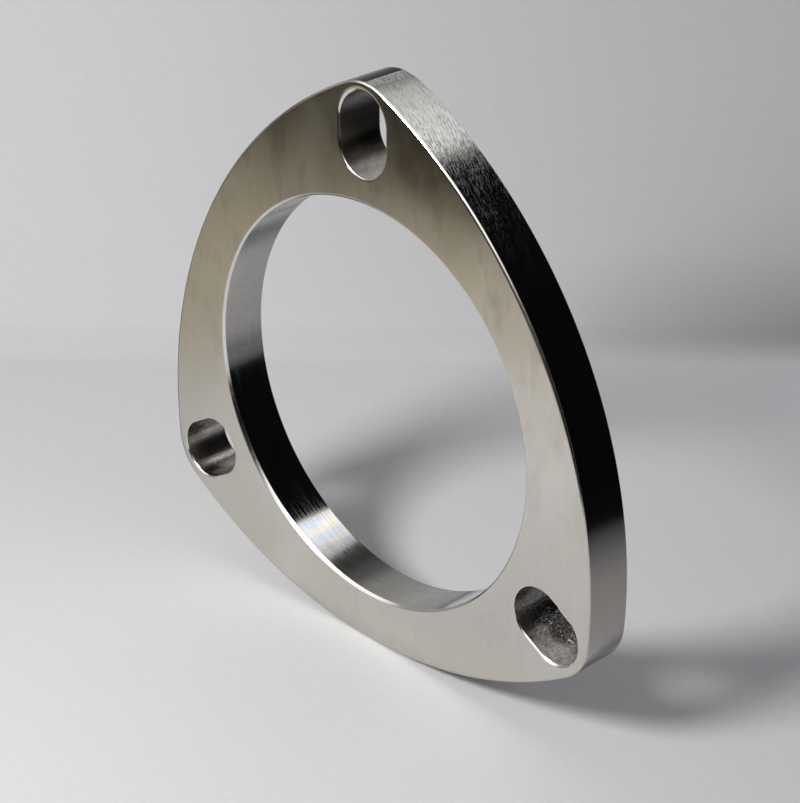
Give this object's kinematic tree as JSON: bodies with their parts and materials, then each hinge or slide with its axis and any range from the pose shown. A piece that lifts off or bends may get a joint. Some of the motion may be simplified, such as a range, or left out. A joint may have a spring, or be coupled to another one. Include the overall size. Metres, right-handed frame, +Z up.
{
  "type": "three-bolt flange",
  "caption": "Flat triangular pipe flange with bowed sides, a large central bore and a radial bolt slot in each rounded lobe.",
  "frame": {"origin": "on the bore's axis, midway between the two faces", "axes": "+Z points up through the middle of one lobe, and the bore's axis lies along Y with the front face towards -Y; the plate stands on the middle of the side opposite that lobe, as in the picture"},
  "size_m": [0.1074, 0.0094, 0.1087],
  "materials": {
    "machined_steel": "satin ground faces, rim polished along its length, bore turned, slots milled"
  },
  "bodies": {
    "root": {"flange_plate": "machined_steel"}
  },
  "joints": []
}
